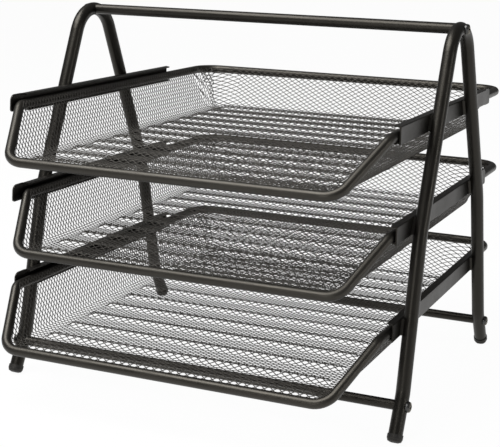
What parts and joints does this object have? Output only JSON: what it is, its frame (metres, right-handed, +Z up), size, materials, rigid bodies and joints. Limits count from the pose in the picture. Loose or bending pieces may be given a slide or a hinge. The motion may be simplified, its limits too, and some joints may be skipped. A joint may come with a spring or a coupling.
{
  "type": "tiered mesh letter tray",
  "caption": "Desk stand of bent tube side frames whose welded rails carry tiers of sliding wire mesh letter trays with a low front lip.",
  "frame": {"origin": "on the surface the stand rests on, in the middle of the overall width and depth with the trays as stored", "axes": "+Z up, +Y towards the back, so the trays slide out along -Y; +X to the right seen from the front"},
  "size_m": [0.3184, 0.357, 0.2753],
  "materials": {
    "frame_paint": "satin black powder coat",
    "rail_paint": "satin black powder coat on folded sheet",
    "rim_paint": "semi-gloss black powder coat",
    "mesh_paint": "black powder coat on expanded metal",
    "screw_steel": "blackened steel",
    "cap_plastic": "matt black moulded plastic"
  },
  "bodies": {
    "stand": {"side_frame_left": "frame_paint", "side_frame_right": "frame_paint", "handle_bar": "frame_paint", "front_crossbar": "frame_paint", "rear_crossbar": "frame_paint", "handle_bar_screws": "screw_steel", "front_crossbar_screws": "screw_steel", "rear_crossbar_screws": "screw_steel", "foot_cap_front_left": "cap_plastic", "foot_cap_front_right": "cap_plastic", "foot_cap_rear_left": "cap_plastic", "foot_cap_rear_right": "cap_plastic", "rail_bottom_left": "rail_paint", "rail_bottom_right": "rail_paint", "rail_middle_left": "rail_paint", "rail_middle_right": "rail_paint", "rail_top_left": "rail_paint", "rail_top_right": "rail_paint"},
    "bottom_tray": {"bottom_tray_rim": "rim_paint", "bottom_tray_basket": "mesh_paint"},
    "middle_tray": {"middle_tray_rim": "rim_paint", "middle_tray_basket": "mesh_paint"},
    "top_tray": {"top_tray_rim": "rim_paint", "top_tray_basket": "mesh_paint"}
  },
  "joints": [
    {"name": "bottom_tray_slide", "type": "slide", "parent": "stand", "child": "bottom_tray", "axis": [0, -1, 0], "range_m": [-0.0172, 0.1443]},
    {"name": "middle_tray_slide", "type": "slide", "parent": "stand", "child": "middle_tray", "axis": [0, -1, 0], "range_m": [-0.001, 0.1605]},
    {"name": "top_tray_slide", "type": "slide", "parent": "stand", "child": "top_tray", "axis": [0, -1, 0], "range_m": [-0.008, 0.1535]}
  ]
}
